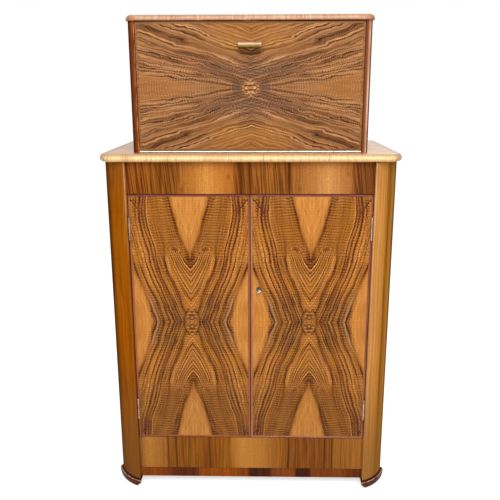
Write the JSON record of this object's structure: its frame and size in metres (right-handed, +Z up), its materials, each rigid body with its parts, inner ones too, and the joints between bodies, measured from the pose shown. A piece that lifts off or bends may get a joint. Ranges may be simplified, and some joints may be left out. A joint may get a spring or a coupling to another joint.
{
  "type": "cellarette",
  "caption": "Stepped walnut cellarette: a cupboard with matched-veneer doors on rounded posts, and a fall-front drinks box with brass stays on top.",
  "frame": {"origin": "on the floor, under the middle of the lower top board", "axes": "+Z up, +X to the right as seen from the front, +Y from the front to the back"},
  "size_m": [0.79, 0.44, 1.3],
  "materials": {
    "figured_walnut": "french polished quarter-matched figured walnut veneer",
    "striped_walnut": "french polished straight-grain walnut veneer",
    "plinth_walnut": "polished darker walnut",
    "post_walnut": "polished walnut, upright grain",
    "side_walnut": "polished walnut veneer, upright grain",
    "top_walnut": "polished walnut with cross-grain edge",
    "upper_side_walnut": "polished red-brown walnut",
    "red_lipping": "polished reddish hardwood edging",
    "stained_foot": "dark stained polished hardwood",
    "carcass_wood": "plain sealed carcass wood",
    "back_plywood": "unpolished plywood",
    "aged_brass": "aged brass",
    "steel": "plain steel",
    "mirror_glass": "silvered plate glass",
    "shelf_glass": "clear plate glass with polished edges"
  },
  "bodies": {
    "cabinet": {"frieze_rail": "striped_walnut", "bottom_rail": "striped_walnut", "plinth_strip": "plinth_walnut", "left_corner_post": "post_walnut", "right_corner_post": "post_walnut", "left_side_panel": "side_walnut", "right_side_panel": "side_walnut", "cabinet_top": "top_walnut", "upper_top": "top_walnut", "upper_left_side": "upper_side_walnut", "upper_right_side": "upper_side_walnut", "left_front_foot": "stained_foot", "right_front_foot": "stained_foot", "rear_feet": "stained_foot", "base_board": "carcass_wood", "lower_shelf": "carcass_wood", "shelf_bearers": "carcass_wood", "top_cleats": "carcass_wood", "door_stops": "carcass_wood", "upper_floor": "carcass_wood", "mirror_beading": "carcass_wood", "lower_back_panel": "back_plywood", "upper_back_panel": "back_plywood", "piano_hinge_fixed_leaf": "aged_brass", "post_hinge_leaves": "aged_brass", "stay_pivots": "aged_brass", "catch_strike": "aged_brass", "shelf_pegs": "aged_brass", "door_hinge_pins": "steel", "piano_hinge_pin": "steel", "back_screws": "steel", "mirror_plate": "mirror_glass", "glass_shelf": "shelf_glass"},
    "flap": {"flap_panel": "figured_walnut", "flap_lipping": "red_lipping", "piano_hinge_flap_leaf": "aged_brass", "handle_bar": "aged_brass", "handle_posts": "aged_brass", "handle_screws": "steel", "stay_brackets": "aged_brass", "catch_barrel": "aged_brass"},
    "catch_ball": {"catch_ball": "steel"},
    "left_stay_bar": {"left_stay_bar": "aged_brass"},
    "right_stay_bar": {"right_stay_bar": "aged_brass"},
    "left_stay_guide": {"left_stay_guide": "aged_brass"},
    "right_stay_guide": {"right_stay_guide": "aged_brass"},
    "left_door": {"left_door_panel": "figured_walnut", "left_door_lipping": "red_lipping", "left_door_hinge_leaves": "aged_brass", "slide_housings": "aged_brass", "lock_keep": "aged_brass"},
    "upper_slide_bolt": {"upper_slide_bolt": "aged_brass"},
    "lower_slide_bolt": {"lower_slide_bolt": "aged_brass"},
    "right_door": {"right_door_panel": "figured_walnut", "right_door_lipping": "red_lipping", "right_door_hinge_leaves": "aged_brass", "lock_case": "aged_brass", "escutcheon": "aged_brass"},
    "lock_bolt": {"lock_bolt": "steel"},
    "key": {"key": "aged_brass"}
  },
  "joints": [
    {"name": "left_door_swing", "type": "hinge", "parent": "cabinet", "child": "left_door", "pos_m": [-0.3184, -0.1992, 0.506], "axis": [0, 0, -1], "range_deg": [0, 110]},
    {"name": "right_door_swing", "type": "hinge", "parent": "cabinet", "child": "right_door", "pos_m": [0.3184, -0.1992, 0.506], "axis": [0, 0, 1], "range_deg": [0, 110]},
    {"name": "flap_fall", "type": "hinge", "parent": "cabinet", "child": "flap", "pos_m": [0, -0.1778, 0.9659], "axis": [1, 0, 0], "range_deg": [0, 90]},
    {"name": "key_turn", "type": "hinge", "parent": "right_door", "child": "key", "pos_m": [0.0241, -0.19, 0.599], "axis": [0, 1, 0], "range_deg": [0, 180]},
    {"name": "lock_bolt_throw", "type": "slide", "parent": "right_door", "child": "lock_bolt", "axis": [-1, 0, 0], "range_m": [0, 0.009]},
    {"name": "upper_bolt_slide", "type": "slide", "parent": "left_door", "child": "upper_slide_bolt", "axis": [0, 0, 1], "range_m": [0, 0.012]},
    {"name": "lower_bolt_slide", "type": "slide", "parent": "left_door", "child": "lower_slide_bolt", "axis": [0, 0, -1], "range_m": [0, 0.012]},
    {"name": "catch_ball_press", "type": "slide", "parent": "flap", "child": "catch_ball", "axis": [0, 0, -1], "range_m": [0, 0.0012], "stiffness_N_per_m": 100, "springref_m": -0.002},
    {"name": "left_stay_turn", "type": "hinge", "parent": "flap", "child": "left_stay_bar", "pos_m": [-0.281, -0.1458, 1.11245], "axis": [1, 0, 0], "range_deg": [-45, 0]},
    {"name": "left_guide_turn", "type": "hinge", "parent": "cabinet", "child": "left_stay_guide", "pos_m": [-0.281, -0.08075, 1.08027], "axis": [1, 0, 0], "range_deg": [0, 45]},
    {"name": "right_stay_turn", "type": "hinge", "parent": "flap", "child": "right_stay_bar", "pos_m": [0.281, -0.1458, 1.11245], "axis": [1, 0, 0], "range_deg": [-45, 0]},
    {"name": "right_guide_turn", "type": "hinge", "parent": "cabinet", "child": "right_stay_guide", "pos_m": [0.281, -0.08075, 1.08027], "axis": [1, 0, 0], "range_deg": [0, 45]}
  ],
  "couplings": [
    {"joint": "key_turn", "follows": "lock_bolt_throw", "rad_per_m": 349.07},
    {"joint": "left_stay_turn", "follows": "flap_fall", "ratio": -0.5},
    {"joint": "left_guide_turn", "follows": "flap_fall", "ratio": 0.5},
    {"joint": "right_stay_turn", "follows": "flap_fall", "ratio": -0.5},
    {"joint": "right_guide_turn", "follows": "flap_fall", "ratio": 0.5}
  ]
}
